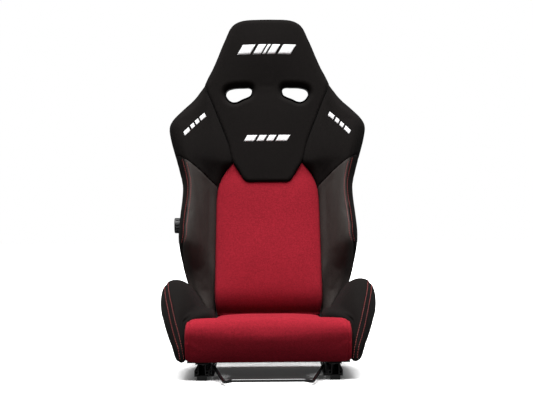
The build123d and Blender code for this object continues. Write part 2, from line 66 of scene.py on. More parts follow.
# ---- curves through given values
def through(places, values, at, monotone=True):
    """Values of a smooth curve through (place, value) pairs; a monotone one never swings past them."""
    x = np.asarray(places, float)
    y = np.asarray(values, float).reshape(len(x), -1)
    at = np.asarray(at, float)
    step = np.diff(x)[:, None]
    slope = np.diff(y, axis=0) / step
    tangent = np.empty_like(y)
    tangent[0], tangent[-1] = slope[0], slope[-1]
    before, after = slope[:-1], slope[1:]
    tangent[1:-1] = (before * step[1:] + after * step[:-1]) / (step[1:] + step[:-1])
    if monotone:
        low = 2.5 * np.minimum(np.abs(before), np.abs(after))
        inner = np.clip(tangent[1:-1], -low, low)
        tangent[1:-1] = np.where(before * after > 0, inner, 0)
    i = np.clip(np.searchsorted(x, at, side="right") - 1, 0, len(x) - 2)
    span = step[i]
    t = (at - x[i])[:, None] / span
    start = (1 + 2 * t) * (1 - t) ** 2 * y[i] + t * (1 - t) ** 2 * span * tangent[i]
    end = t * t * (3 - 2 * t) * y[i + 1] + t * t * (t - 1) * span * tangent[i + 1]
    return start + end


def smoothstep(low, high, value):
    t = np.clip((value - low) / (high - low), 0, 1)
    return t * t * (3 - 2 * t)


def along(points, count=400):
    """Smooth curve through the points, as many close points, and the length to each of them."""
    points = np.asarray(points, float)
    chord = np.r_[0, np.cumsum(np.linalg.norm(np.diff(points, axis=0), axis=1))]
    line = through(chord, points, np.linspace(0, chord[-1], count), monotone=False)
    length = np.r_[0, np.cumsum(np.linalg.norm(np.diff(line, axis=0), axis=1))]
    return line, length


def resampled(line, length, places):
    """Points of a flat line at the given lengths along it."""
    return np.stack([np.interp(places, length, line[:, k]) for k in range(2)], axis=1)


def even_section(points, count):
    """Evenly spaced points of the smooth section through a few."""
    line, length = along(points)
    return resampled(line, length, np.linspace(0, length[-1], count))


def both_halves(half, count):
    """Even section from left to right, given its right half from the middle out."""
    right = even_section(half, count)
    return np.r_[right[:0:-1] * MIRROR, right]


def column_at(table, column, places):
    """One column of a table of stations, read smoothly at the given places."""
    rows = np.array(table, float)
    return through(rows[:, 0], rows[:, column], places)[:, 0]


def outline_loop(points, spacing):
    """Closed smooth outline through the points, resampled at an even spacing."""
    points = np.asarray(points, float)
    wrapped = np.r_[points[-3:], points, points[:3]]
    chord = np.r_[0, np.cumsum(np.linalg.norm(np.diff(wrapped, axis=0), axis=1))]
    places = np.linspace(chord[3], chord[3 + len(points)], 1200, endpoint=False)
    line = through(chord, wrapped, places, monotone=False)
    closed = np.r_[line, line[:1]]
    length = np.r_[0, np.cumsum(np.linalg.norm(np.diff(closed, axis=0), axis=1))]
    count = int(length[-1] / spacing)
    return resampled(closed, length, np.linspace(0, length[-1], count, endpoint=False))


def symmetric_outline(half, spacing=6.0):
    """Closed outline from its right half, which starts and ends on the middle line."""
    right = np.array(half, float)
    return outline_loop(np.r_[right, right[-2:0:-1] * MIRROR], spacing)


def distance_to(outline, points):
    """Distance from each 2D point to a closed outline."""
    best = np.full(len(points), np.inf)
    for a, b in zip(outline, np.roll(outline, -1, axis=0)):
        run = b - a
        t = np.clip(((points - a) @ run) / (run @ run), 0, 1)
        gap = np.linalg.norm(points - (a + t[:, None] * run), axis=1)
        best = np.minimum(best, gap)
    return best


# ---- meshes
def coords(piece):
    co = np.empty(len(piece.data.vertices) * 3)
    piece.data.vertices.foreach_get("co", co)
    return co.reshape(-1, 3)


def set_coords(piece, co):
    piece.data.vertices.foreach_set("co", np.asarray(co, float).ravel())
    piece.data.update()


def normals(piece):
    found = np.empty(len(piece.data.vertices) * 3)
    piece.data.vertex_normals.foreach_get("vector", found)
    return found.reshape(-1, 3)


def add_object(name, data):
    made = bpy.data.objects.new(name, data)
    bpy.context.scene.collection.objects.link(made)
    return made


def shade_smooth(mesh):
    mesh.polygons.foreach_set("use_smooth", [True] * len(mesh.polygons))


def raw_mesh(name, verts, faces):
    """Mesh from vertices in metres."""
    mesh = bpy.data.meshes.new(name)
    mesh.from_pydata([tuple(v) for v in verts], [], faces)
    return mesh


def new_piece(name, verts, faces):
    """Mesh object in metres from vertices in millimetres."""
    mesh = raw_mesh(name, np.asarray(verts, float) * MM, faces)
    tidy_mesh(mesh)
    return add_object(name, mesh)


WELD = 0.00002


def tidy_mesh(mesh):
    """Welds doubled vertices, turns the faces outward and shades them smooth."""
    work = bmesh.new()
    work.from_mesh(mesh)
    bmesh.ops.remove_doubles(work, verts=work.verts, dist=WELD)
    bmesh.ops.recalc_face_normals(work, faces=work.faces)
    work.to_mesh(mesh)
    work.free()
    shade_smooth(mesh)
    mesh.update()


def loft(name, rings, dome=(6.0, 6.0), steps=4):
    """Closed solid through rings of points, with a rounded end of the given depth at each end."""
    rings = np.asarray(rings, float)
    ends = []
    for ring, inner, depth in ((rings[0], rings[1], dome[0]), (rings[-1], rings[-2], dome[1])):
        out = ring.mean(0) - inner.mean(0)
        out /= np.linalg.norm(out)
        middle = ring.mean(0)
        extra = []
        for k in range(1, steps):
            turn = math.pi / 2 * k / steps
            extra.append(middle + (ring - middle) * math.cos(turn) + out * depth * math.sin(turn))
        ends.append((extra, middle + out * depth))
    stack = ends[0][0][::-1] + list(rings) + ends[1][0]
    count = len(rings[0])
    verts = np.concatenate(stack + [[ends[0][1]], [ends[1][1]]])
    faces = []
    for r in range(len(stack) - 1):
        for c in range(count):
            d = (c + 1) % count
            faces.append((r * count + c, r * count + d, (r + 1) * count + d, (r + 1) * count + c))
    tip, top = len(verts) - 2, (len(stack) - 1) * count
    for c in range(count):
        d = (c + 1) % count
        faces.append((tip, d, c))
        faces.append((tip + 1, top + c, top + d))
    return new_piece(name, verts, faces)


def prism(name, outline, y0, y1):
    """Closed slab with an outline in x and z, between two y planes."""
    count = len(outline)
    front = np.c_[outline[:, 0], np.full(count, y0), outline[:, 1]]
    back = np.c_[outline[:, 0], np.full(count, y1), outline[:, 1]]
    faces = [tuple(range(count)), tuple(range(2 * count - 1, count - 1, -1))]
    faces += [(c, c + count, (c + 1) % count + count, (c + 1) % count) for c in range(count)]
    return new_piece(name, np.r_[front, back], faces)


def apply_modifiers(piece):
    graph = bpy.context.evaluated_depsgraph_get()
    mesh = bpy.data.meshes.new_from_object(piece.evaluated_get(graph))
    old = piece.data
    piece.modifiers.clear()
    piece.data = mesh
    bpy.data.meshes.remove(old)
    shade_smooth(mesh)


def cut_away(piece, tools):
    """Cuts each tool out of the piece, and deletes the tools."""
    for tool in tools:
        cut = piece.modifiers.new("cut", "BOOLEAN")
        cut.operation, cut.solver, cut.object = "DIFFERENCE", "EXACT", tool
    apply_modifiers(piece)
    for tool in tools:
        bpy.data.objects.remove(tool)


def soften(piece, times):
    """Relaxes the surface, after whatever modifiers the piece has so far."""
    soft = piece.modifiers.new("soft", "SMOOTH")
    soft.factor, soft.iterations = 0.5, times
    apply_modifiers(piece)


def remesh(piece, size_mm, times):
    """Even quads all over, with corners relaxed."""
    voxels = piece.modifiers.new("even", "REMESH")
    voxels.mode, voxels.voxel_size = "VOXEL", size_mm * MM
    soften(piece, times)


def puff(piece, free, pressure, cap_mm, frames=14):
    """Inflates a cover as cloth, held where free is under a half, and keeps the result.

    Each point moves by its own share, free, of the way that the cloth took it, and by less than the cap.
    """
    rest = coords(piece)
    held = piece.vertex_groups.new(name="held")
    for i in np.flatnonzero(free < 0.5):
        held.add([int(i)], 1.0, "REPLACE")
    cloth = piece.modifiers.new("puff", "CLOTH")
    cloth.settings.quality = 5
    cloth.settings.mass = 0.3
    cloth.settings.tension_stiffness = 12
    cloth.settings.compression_stiffness = 12
    cloth.settings.shear_stiffness = 6
    cloth.settings.bending_stiffness = 0.6
    cloth.settings.use_pressure = True
    cloth.settings.uniform_pressure_force = pressure
    cloth.settings.vertex_group_mass = "held"
    cloth.settings.effector_weights.gravity = 0
    cloth.point_cache.frame_start, cloth.point_cache.frame_end = 1, frames
    for number in range(1, frames + 1):
        bpy.context.scene.frame_set(number)
    graph = bpy.context.evaluated_depsgraph_get()
    moved = coords(piece.evaluated_get(graph)) - rest
    piece.modifiers.clear()
    piece.vertex_groups.clear()
    bpy.context.scene.frame_set(1)
    size = np.linalg.norm(moved, axis=1, keepdims=True)
    cap = cap_mm * MM
    moved *= cap * np.tanh(size / cap) / np.maximum(size, 1e-9)
    set_coords(piece, rest + moved * free[:, None])


def tuck(piece, nearness_mm, depth_mm):
    """Draws the surface in along a seam: nearness is 1 on the seam and 0 away from it."""
    set_coords(piece, coords(piece) - normals(piece) * (nearness_mm * depth_mm * MM)[:, None])


def lay_uv(piece, upright=True):
    """UVs in metres, laid flat from the side that each face looks to, so a weave keeps its real size."""
    mesh = piece.data
    back = UPRIGHT if upright else Matrix.Identity(4)
    turn = np.array(back.to_3x3())
    co = coords(piece) @ turn.T
    normal = np.empty(len(mesh.polygons) * 3)
    mesh.polygons.foreach_get("normal", normal)
    normal = np.abs(normal.reshape(-1, 3) @ turn.T)
    sizes = np.empty(len(mesh.polygons), int)
    mesh.polygons.foreach_get("loop_total", sizes)
    side = np.repeat(np.argmax(normal * np.array([0.8, 1.2, 1.0]), axis=1), sizes)
    corner = np.empty(len(mesh.loops), int)
    mesh.loops.foreach_get("vertex_index", corner)
    at = co[corner]
    u = np.where(side == 0, at[:, 1], at[:, 0])
    v = np.where(side == 2, at[:, 1], at[:, 2])
    layer = mesh.uv_layers.new(name="weave")
    layer.data.foreach_set("uv", np.stack([u, v], axis=1).ravel())


# ---- materials
class Nodes:
    """Short way to write a material's node tree."""

    def __init__(self, name):
        self.material = bpy.data.materials.new(name)
        self.material.use_nodes = True
        self.tree = self.material.node_tree
        self.shader = self.tree.nodes["Principled BSDF"]

    def add(self, kind, settings=None, **inputs):
        node = self.tree.nodes.new("ShaderNode" + kind)
        for key, value in (settings or {}).items():
            setattr(node, key, value)
        for key, value in inputs.items():
            self.put(node, key.replace("_", " "), value)
        return node

    def put(self, node, key, value):
        socket = node.inputs[int(key)] if key.isdigit() else node.inputs[key]
        if isinstance(value, bpy.types.NodeSocket):
            self.tree.links.new(value, socket)
        else:
            socket.default_value = value

    def position(self):
        return self.add("NewGeometry").outputs["Position"]

    def noise(self, vector, scale, detail=2.0, **more):
        return self.add("TexNoise", Vector=vector, Scale=scale, Detail=detail, **more).outputs[0]

    def math(self, operation, a, b=0.0):
        node = self.tree.nodes.new("ShaderNodeMath")
        node.operation = operation
        self.put(node, "0", a)
        self.put(node, "1", b)
        return node.outputs[0]

    def swing(self, base, source, size):
        """The base value, moved either way by a source that lies about a half."""
        return self.math("ADD", base, self.math("MULTIPLY", self.math("SUBTRACT", source, 0.5), size))

    def mix(self, factor, a, b):
        node = self.tree.nodes.new("ShaderNodeMix")
        node.data_type = "RGBA"
        self.put(node, "0", factor)
        self.put(node, "6", a)
        self.put(node, "7", b)
        return node.outputs[2]

    def scaled(self, source, x, y=None, z=None):
        y = x if y is None else y
        z = x if z is None else z
        node = self.add("Mapping", Vector=source)
        node.inputs["Scale"].default_value = (x, y, z)
        return node.outputs[0]

    def ramp(self, value, low, high):
        node = self.tree.nodes.new("ShaderNodeMapRange")
        node.interpolation_type = "SMOOTHSTEP"
        self.put(node, "0", value)
        self.put(node, "1", low)
        self.put(node, "2", high)
        return node.outputs[0]

    def bump(self, height, distance, strength=1.0, base=None):
        node = self.add("Bump", Height=height, Distance=distance, Strength=strength)
        if base:
            self.put(node, "Normal", base)
        return node.outputs[0]

    def finish(self, **values):
        for key, value in values.items():
            self.put(self.shader, key.replace("_", " "), value)
        return self.material


def rgb(r, g, b):
    return (r, g, b, 1.0)


def toned(colour, factor, lift=0.0):
    """The colour made lighter or darker."""
    return rgb(*(min(1.0, factor * c + lift) for c in colour[:3]))


# Brings a wave texture's stripes to about one for each loop of the weave.
LOOP_STRETCH = 3.14159


def woven(name, dark, light, pitch, relief, mottle, sheen, rough):
    """Knitted or woven cover: rows of rounded loops, offset row by row, with a mottled dye."""
    n = Nodes(name)
    uv = n.add("UVMap", {"uv_map": "weave"}).outputs[0]
    place = n.position()
    wander = n.noise(place, 260.0)
    across, up = (
        n.add("TexWave", {"bands_direction": way}, Vector=n.scaled(uv, 1.0 / pitch / LOOP_STRETCH), Scale=1.0,
              Distortion=0.6, Detail=1.0, Detail_Scale=2.0).outputs[1]
        for way in "XY"
    )
    loops = n.math("MULTIPLY", across, up)
    fibre = n.noise(n.scaled(uv, 3200, 900, 1), 1.0, 3.0)
    cloud = n.noise(place, mottle, 4.0, Roughness=0.7)
    broad = n.noise(place, 9.0)
    tone = n.math("ADD", n.math("MULTIPLY", n.ramp(loops, 0.05, 0.75), 0.5), n.math("MULTIPLY", cloud, 0.55))
    tone = n.swing(n.swing(tone, wander, 0.5), broad, 0.1)
    colour = n.mix(n.ramp(tone, 0.1, 0.95), dark, light)
    height = n.math("ADD", loops, n.math("MULTIPLY", fibre, 0.35))
    roughness = n.swing(rough, cloud, 0.1)
    return n.finish(Base_Color=colour, Roughness=roughness, Normal=n.bump(height, relief, 0.8),
                    Sheen_Weight=sheen, Sheen_Roughness=0.45, Specular_IOR_Level=0.1)


GRAIN_WARP = 0.0016


def leatherette(name, dark, light, rough, grain=900.0):
    """Grained vinyl: pebbles with fine creases between them, rubbed smoother where it stands out."""
    n = Nodes(name)
    place = n.position()
    warp = n.add("TexNoise", Vector=place, Scale=120.0, Detail=2.0)
    near = n.add("VectorMath", {"operation": "MULTIPLY_ADD"})
    n.put(near, "0", warp.outputs["Color"])
    near.inputs[1].default_value = (GRAIN_WARP, GRAIN_WARP, GRAIN_WARP)
    n.put(near, "2", place)
    pebble = n.add("TexVoronoi", {"feature": "DISTANCE_TO_EDGE"}, Vector=near.outputs[0], Scale=grain)
    crease = n.ramp(pebble.outputs[0], 0.0, 0.16)
    fine = n.noise(place, grain * 3, 3.0)
    broad = n.noise(place, 14.0, 3.0)
    height = n.math("ADD", crease, n.math("MULTIPLY", fine, 0.25))
    worn = n.math("ADD", 0.55, n.math("MULTIPLY", broad, 0.6))
    colour = n.mix(n.math("MULTIPLY", crease, worn), dark, light)
    roughness = n.math("ADD", rough, n.math("MULTIPLY", n.math("SUBTRACT", broad, crease), 0.12))
    return n.finish(Base_Color=colour, Roughness=roughness, Normal=n.bump(height, 0.00016, 0.7),
                    Specular_IOR_Level=0.13, Sheen_Weight=0.01, Sheen_Roughness=0.4)


def moulded(name, colour, rough, grain=1500.0, relief=0.00006):
    """Moulded plastic with a spark-eroded texture and slight wear."""
    n = Nodes(name)
    place = n.position()
    speck = n.noise(place, grain)
    broad = n.noise(place, 22.0, 4.0)
    cloudy = n.mix(n.math("MULTIPLY", broad, 0.6), colour, toned(colour, 1.9))
    return n.finish(Base_Color=cloudy, Roughness=n.swing(rough, broad, 0.16),
                    Normal=n.bump(speck, relief, 0.7))


def painted(name, colour, rough, coat=0.0, relief=0.00004):
    """Powder coat or gloss paint over steel: fine orange peel and faint dust."""
    n = Nodes(name)
    place = n.position()
    peel = n.noise(place, 700.0, 1.0)
    worn = n.ramp(n.noise(place, 40.0, 5.0, Roughness=0.65), 0.45, 0.8)
    roughness = n.math("ADD", rough, n.math("MULTIPLY", worn, 0.12))
    return n.finish(Base_Color=n.mix(worn, colour, toned(colour, 2.2, 0.004)), Roughness=roughness,
                    Metallic=0.0, Coat_Weight=coat, Coat_Roughness=0.08, Normal=n.bump(peel, relief, 0.5))


def bare_steel(name, colour, rough):
    """Rolled or plated steel, streaked along Y and a little cloudy."""
    n = Nodes(name)
    place = n.position()
    streak = n.noise(n.scaled(place, 900, 60, 900), 1.0, 3.0)
    cloud = n.noise(place, 55.0, 4.0)
    roughness = n.math("ADD", rough, n.math("MULTIPLY", cloud, 0.18))
    return n.finish(Base_Color=n.mix(cloud, toned(colour, 0.7), colour), Metallic=1.0, Roughness=roughness,
                    Normal=n.bump(streak, 0.00003, 0.4))


def thread(name, dark, light):
    """Twisted sewing thread."""
    n = Nodes(name)
    place = n.position()
    twist = n.add("TexWave", {"bands_direction": "DIAGONAL"}, Vector=n.scaled(place, 420), Scale=1.0,
                  Distortion=1.0).outputs[1]
    return n.finish(Base_Color=n.mix(twist, dark, light), Roughness=0.55, Sheen_Weight=0.3,
                    Normal=n.bump(twist, 0.0001, 0.8))


RED = woven("red_knit", rgb(0.155, 0.0056, 0.0115), rgb(0.51, 0.0212, 0.0415),
            pitch=0.0021, relief=0.00035, mottle=420.0, sheen=0.02, rough=0.9)
BLACK_CLOTH = woven("black_cloth", rgb(0.0032, 0.0025, 0.0023), rgb(0.0114, 0.009, 0.0082),
                    pitch=0.0013, relief=0.0002, mottle=500.0, sheen=0.01, rough=0.9)
VINYL = leatherette("black_vinyl", rgb(0.018, 0.0155, 0.014), rgb(0.060, 0.051, 0.047), 0.66)
SHELL = moulded("rear_shell_plastic", rgb(0.012, 0.012, 0.012), 0.42, 900.0, 0.00012)
PLASTIC = moulded("black_plastic", rgb(0.010, 0.010, 0.0105), 0.38)
POWDER = painted("powder_coat", rgb(0.008, 0.008, 0.0085), 0.42)
GLOSS = painted("black_gloss_rod", rgb(0.006, 0.006, 0.0065), 0.16, coat=0.6)
ZINC = bare_steel("zinc_steel", rgb(0.32, 0.32, 0.33), 0.3)
STEEL = bare_steel("recliner_steel", rgb(0.42, 0.42, 0.43), 0.26)
WIRE = bare_steel("spring_wire", rgb(0.13, 0.13, 0.14), 0.34)
WEBBING = woven("webbing", rgb(0.006, 0.006, 0.006), rgb(0.03, 0.03, 0.03),
                pitch=0.0024, relief=0.0004, mottle=300.0, sheen=0.1, rough=0.8)
RED_THREAD = thread("red_thread", rgb(0.24, 0.016, 0.016), rgb(0.58, 0.055, 0.05))
WHITE_THREAD = thread("white_thread", rgb(0.62, 0.62, 0.63), rgb(0.95, 0.95, 0.95))


def dress(piece, material, slot, body, upright=True, uv=True):
    """Gives a finished piece its UVs, material and body; slot is not used."""
    if uv:
        lay_uv(piece, upright)
    piece.data.materials.clear()
    piece.data.materials.append(material)
    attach(piece, body)
    return piece


CAD_FINISH = {
    "black_gloss_rod": GLOSS, "frame_paint": POWDER, "zinc_steel": ZINC, "recliner_steel": STEEL,
    "spring_wire": WIRE, "black_plastic": PLASTIC, "webbing": WEBBING, "rear_shell_plastic": SHELL,
}


def dress_cad_nodes():
    """Puts the procedural finish of its slot on each CAD node that stays in view."""
    for part in frame["record"]["subparts"]:
        node, slot = part["node"], part["material_slot"]
        if slot not in CAD_FINISH:
            continue
        target = frame["nodes"][node]
        if slot == "webbing":
            lay_uv(target)
        for own in target.material_slots:
            own.material = CAD_FINISH[slot]


# ---- stitching
# Each ring of a stitch: its place along it, its thickness, and its rise above the cloth, in radii.
STITCH_RINGS = [(0, 0.45, -0.35), (0.18, 0.95, 0.25), (0.5, 1.0, 0.5), (0.82, 0.95, 0.25), (1, 0.45, -0.35)]
STITCH_SIDES = 6


def stitch_row(verts, faces, surface, route, pitch=6.4, length=3.9, radius=0.6):
    """Adds a row of stitches along a route of close points, laid on the surface."""
    length_to = np.r_[0, np.cumsum(np.linalg.norm(np.diff(route, axis=0), axis=1))]
    for middle in np.arange(pitch, length_to[-1] - pitch, pitch):
        ends = []
        for place in (middle - length / 2, middle + length / 2):
            point = Vector([np.interp(place, length_to, route[:, k]) for k in range(3)]) * MM
            ends.append(surface.find_nearest(point)[:2])
        if any(found[0] is None for found in ends):
            continue
        start, finish = ends[0][0], ends[1][0]
        up = (ends[0][1] + ends[1][1]).normalized()
        run = (finish - start).normalized()
        across = run.cross(up).normalized()
        first = len(verts)
        for t, size, rise in STITCH_RINGS:
            centre = start.lerp(finish, t) + up * (rise * radius * MM)
            for k in range(STITCH_SIDES):
                turn = math.tau * k / STITCH_SIDES
                ring = across * math.cos(turn) + up * math.sin(turn)
                verts.append(centre + ring * (radius * size * MM))
        last = first + STITCH_SIDES * (len(STITCH_RINGS) - 1)
        for ring_start in range(first, last, STITCH_SIDES):
            for k in range(STITCH_SIDES):
                a, b = ring_start + k, ring_start + (k + 1) % STITCH_SIDES
                faces.append((a, b, b + STITCH_SIDES, a + STITCH_SIDES))
        faces.append(tuple(first + k for k in reversed(range(STITCH_SIDES))))
        faces.append(tuple(last + k for k in range(STITCH_SIDES)))


def surface_of(piece):
    return BVHTree.FromObject(piece, bpy.context.evaluated_depsgraph_get())


def stitching(name, cover, routes, body):
    """Red stitching on a cover, along routes in millimetres in the seat's frame."""
    verts, faces = [], []
    surface = surface_of(cover)
    for route in routes:
        stitch_row(verts, faces, surface, np.asarray(route))
    mesh = raw_mesh(name, verts, faces)
    shade_smooth(mesh)
    dress(add_object(name, mesh), RED_THREAD, "red_fabric", body, uv=False)


# ---- sections with a stitched seam
# Places of a seam's columns from its middle, and how far each is sunk.
SEAM_STEPS = np.array([-12, -8.5, -5.5, -3.2, -1.6, 0, 1.6, 3.2, 5.5, 8.5, 12.0])
SEAM_DEPTH = np.array([0, 0.1, 0.5, 0.5, 1.3, 2.4, 1.3, 0.5, 0.5, 0.1, 0.0])


def seamed_section(points, seam_index, before, after, further=0.0):
    """A smooth section with columns bunched at its seam, a further length past the indexed point."""
    line, length = along(points)
    at_seam = length[np.argmin(np.linalg.norm(line - np.asarray(points[seam_index]), axis=1))] + further
    places = np.r_[
        np.linspace(0, at_seam + SEAM_STEPS[0], before, endpoint=False),
        at_seam + SEAM_STEPS,
        np.linspace(at_seam + SEAM_STEPS[-1], length[-1], after + 1)[1:],
    ]
    return resampled(line, length, places)


def press_seam(rings, first, plane):
    """Sinks the seam columns of rings, from the first; plane names the section's two axes."""
    a, b = plane
    middle = rings.mean(axis=1, keepdims=True)
    for k, depth in enumerate(SEAM_DEPTH):
        c = first + k
        run = rings[:, c + 1] - rings[:, c - 1]
        out = np.zeros_like(run)
        out[:, a], out[:, b] = run[:, b], -run[:, a]
        out /= np.linalg.norm(out, axis=1, keepdims=True)
        side = np.sign(((rings[:, c] - middle[:, 0]) * out).sum(axis=1, keepdims=True))
        rings[:, c] -= out * side * depth


# ---- backrest: side bolsters and shoulder wings
SIDE_STATIONS = [
    # height, inner x, outer x, crest x, crest y
    (34, 147, 172, 163, -8),
    (62, 147, 186, 175, -10),
    (100, 147, 214, 195, -17),
    (147, 147, 230, 207, -38),
    (181, 147, 237, 212, -75),
    (214, 147, 243, 217, -104),
    (240, 146, 244, 218, -108),
    (300, 145, 238.5, 215, -103),
    (336, 144.5, 234, 212, -99),
    (371, 143, 231.5, 210.5, -96.5),
    (406, 136, 237, 213, -94),
    (442, 120, 247, 219, -94),
    (467, 98, 254, 224, -94),
    (496, 102, 262, 230, -93),
    (532, 113, 271, 237, -89),
    (555, 122, 274.5, 240, -85),
    (570, 127.5, 272, 239, -81),
    (586, 134, 263, 231, -76),
    (603, 140.5, 249, 219, -69),
    (621, 147, 233, 206, -61),
    (639, 153.5, 216, 195, -53),
    (657, 161, 202, 186, -45),
    (675, 169, 190.5, 181, -37),
    (690, 170, 181, 176.5, -29),
    (704, 167, 174, 171, -22),
]
# Columns of a ring before its seam's own ones, and after them.
SIDE_BEFORE, SIDE_AFTER = 30, 12
SIDE_RINGS = 124


def side_rings():
    """Rings up the right side of the backrest, each from its inner back corner round to its outer one."""
    table = np.array(SIDE_STATIONS, float)
    low, high = table[0, 0], table[-1, 0]
    heights = np.linspace(low, high, SIDE_RINGS)
    inner, outer, crest, front = through(table[:, 0], table[:, 1:], heights).T
    rings = []
    for h, i, o, c, f in zip(heights, inner, outer, crest, front):
        edge = -24 + 40 * (1 - smoothstep(40, 165, h)) - 3 * smoothstep(440, 600, h)
        hollow = 5 * smoothstep(60, 140, h) * (1 - smoothstep(330, 450, h))
        reach = o - c
        points = [
            (i, FOAM_BACK), (i, 0.5 * (FOAM_BACK + edge)), (i + 0.3, edge + 4), (i + 2.4, edge - 0.6),
            (i + 0.33 * (c - i), edge + 0.36 * (f - edge) + hollow),
            (i + 0.70 * (c - i), edge + 0.80 * (f - edge) + hollow * 0.5),
            (c + 0.16 * reach, f + 0.4), (c + 0.58 * reach, f + 0.22 * reach + 2),
            (o - 0.06 * reach, f * 0.66), (o, f * 0.30), (o - 3, 8), (o - 8, FOAM_BACK),
        ]
        turned_outward = 32 * (1 - smoothstep(160, 238, h)) - 9
        section = seamed_section(points, 7, SIDE_BEFORE, SIDE_AFTER, turned_outward)
        rings.append(np.c_[section, np.full(len(section), h)])
    rings = np.array(rings)
    fade = 1 - smoothstep(430, 500, heights)
    plain = rings.copy()
    press_seam(rings, SIDE_BEFORE, (0, 1))
    rings = plain + (rings - plain) * fade[:, None, None]
    bottom = smoothstep(low, 62, heights)[:, None]
    middle = rings[:, :, 1].mean(axis=1, keepdims=True)
    rings[:, :, 1] = middle + (rings[:, :, 1] - middle) * (0.75 + 0.25 * bottom)
    return rings, heights


# The slanted seam between bolster and wing, from its inner end to its outer one.
SEAM_LOW, SEAM_HIGH = np.array([139.0, 0, 391.0]), np.array([222.0, 0, 449.0])
# Where the bolster's stitching starts.
STITCHES_FROM = 206


def halve(piece, keep_upper, point, normal):
    """Keeps one side of a closed piece, and closes the cut."""
    work = bmesh.new()
    work.from_mesh(piece.data)
    geometry = work.verts[:] + work.edges[:] + work.faces[:]
    made = bmesh.ops.bisect_plane(
        work, geom=geometry, plane_co=point, plane_no=normal,
        clear_inner=keep_upper, clear_outer=not keep_upper,
    )
    edges = [e for e in made["geom_cut"] if isinstance(e, bmesh.types.BMEdge)]
    bmesh.ops.triangle_fill(work, edges=edges, use_beauty=True)
    bmesh.ops.recalc_face_normals(work, faces=work.faces)
    work.to_mesh(piece.data)
    work.free()
    shade_smooth(piece.data)


def mirrored(piece, name):
    """The same piece for the left."""
    other = add_object(name, piece.data.copy())
    co = coords(other)
    co[:, 0] *= -1
    set_coords(other, co)
    other.data.flip_normals()
    return other


def make_back_sides():
    """Vinyl bolsters with a cloth outer band, cloth wings above a slanted seam, and stitching."""
    rings, heights = side_rings()
    run = SEAM_HIGH - SEAM_LOW
    across_seam = np.array([-run[2], 0, run[0]])
    point = Vector(SEAM_LOW * MM)
    normal = Vector(across_seam).normalized()
    made = {}
    for part, upper in (("back_bolster", False), ("shoulder_wing", True)):
        piece = loft(f"{part}_right_cover", rings, dome=(9, 5))
        halve(piece, upper, point, normal)
        co = coords(piece) / MM
        gap = np.abs((co - SEAM_LOW) @ np.array(normal))
        inner = column_at(SIDE_STATIONS, 1, co[:, 2])
        away = np.minimum(gap, np.maximum(co[:, 0] - inner, 0))
        facing = smoothstep(20, 0, co[:, 1])
        puff(piece, smoothstep(6, 26, away) * facing, 2.5, 5.0)
        tuck(piece, (1 - smoothstep(0, 5, gap)) ** 2 * facing, 1.1)
        made[part] = piece
    band_edge = rings[:, SIDE_BEFORE + 5, 0]
    routes = []
    for k in (2, 8):
        column = rings[:, SIDE_BEFORE + k]
        shown = (heights > STITCHES_FROM) & (column @ across_seam < SEAM_LOW @ across_seam)
        routes.append(column[shown])
    wings = {}
    for part, piece in made.items():
        left = mirrored(piece, f"{part}_left_cover")
        cloth = part == "shoulder_wing"
        finish = (BLACK_CLOTH, "black_fabric") if cloth else (VINYL, "black_vinyl")
        for side, cover in (("right", piece), ("left", left)):
            centres = np.empty(len(cover.data.polygons) * 3)
            cover.data.polygons.foreach_get("center", centres)
            across, up = np.abs(centres[0::3]) / MM, centres[2::3] / MM
            cover.data.transform(LEAN)
            dress(cover, *finish, "backrest")
            if not cloth:
                cover.data.materials.append(BLACK_CLOTH)
                beyond = across > np.interp(up, heights, band_edge)
                cover.data.polygons.foreach_set("material_index", beyond.astype(int))
            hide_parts(f"{part}_{side}")
            if cloth:
                wings[side] = cover
            else:
                rows = [leaned(route * np.array([SIDES[side], 1, 1])) for route in routes]
                stitching(f"bolster_stitching_{side}", cover, rows, "backrest")
    return wings


def placed(points, matrix):
    """Points in millimetres, moved by a matrix in metres."""
    m = np.array(matrix)
    return (np.asarray(points) * MM @ m[:3, :3].T + m[:3, 3]) / MM


def leaned(points):
    """Points in millimetres from the upright frame to the seat's frame."""
    return placed(points, LEAN)


# ---- backrest: red middle panel
PANEL_WIDTH = [
    (34, 141), (60, 145.5), (100, 147), (200, 146), (300, 144.5), (355, 143), (385, 140),
    (410, 133), (435, 121), (455, 107), (470, 95),
]


PANEL_FOOT, PANEL_TOP = 34, 470
# The panel's foot is rolled under: how high the roll starts, how far down it turns, and how far back it goes.
ROLL_TOP, ROLL_RADIUS, ROLL_DEPTH = 106, 72, 58
LUMBAR_HALF, LUMBAR_LOW, LUMBAR_HIGH = 117, 235, 365


def lumbar_pocket(y0, y1):
    """Tool that clears room for the lumbar plate and its two cams, in the upright frame."""
    outline = [(-LUMBAR_HALF, LUMBAR_LOW), (LUMBAR_HALF, LUMBAR_LOW),
               (LUMBAR_HALF, LUMBAR_HIGH), (-LUMBAR_HALF, LUMBAR_HIGH)]
    return prism("lumbar_pocket_tool", np.array(outline, float), y0, y1)


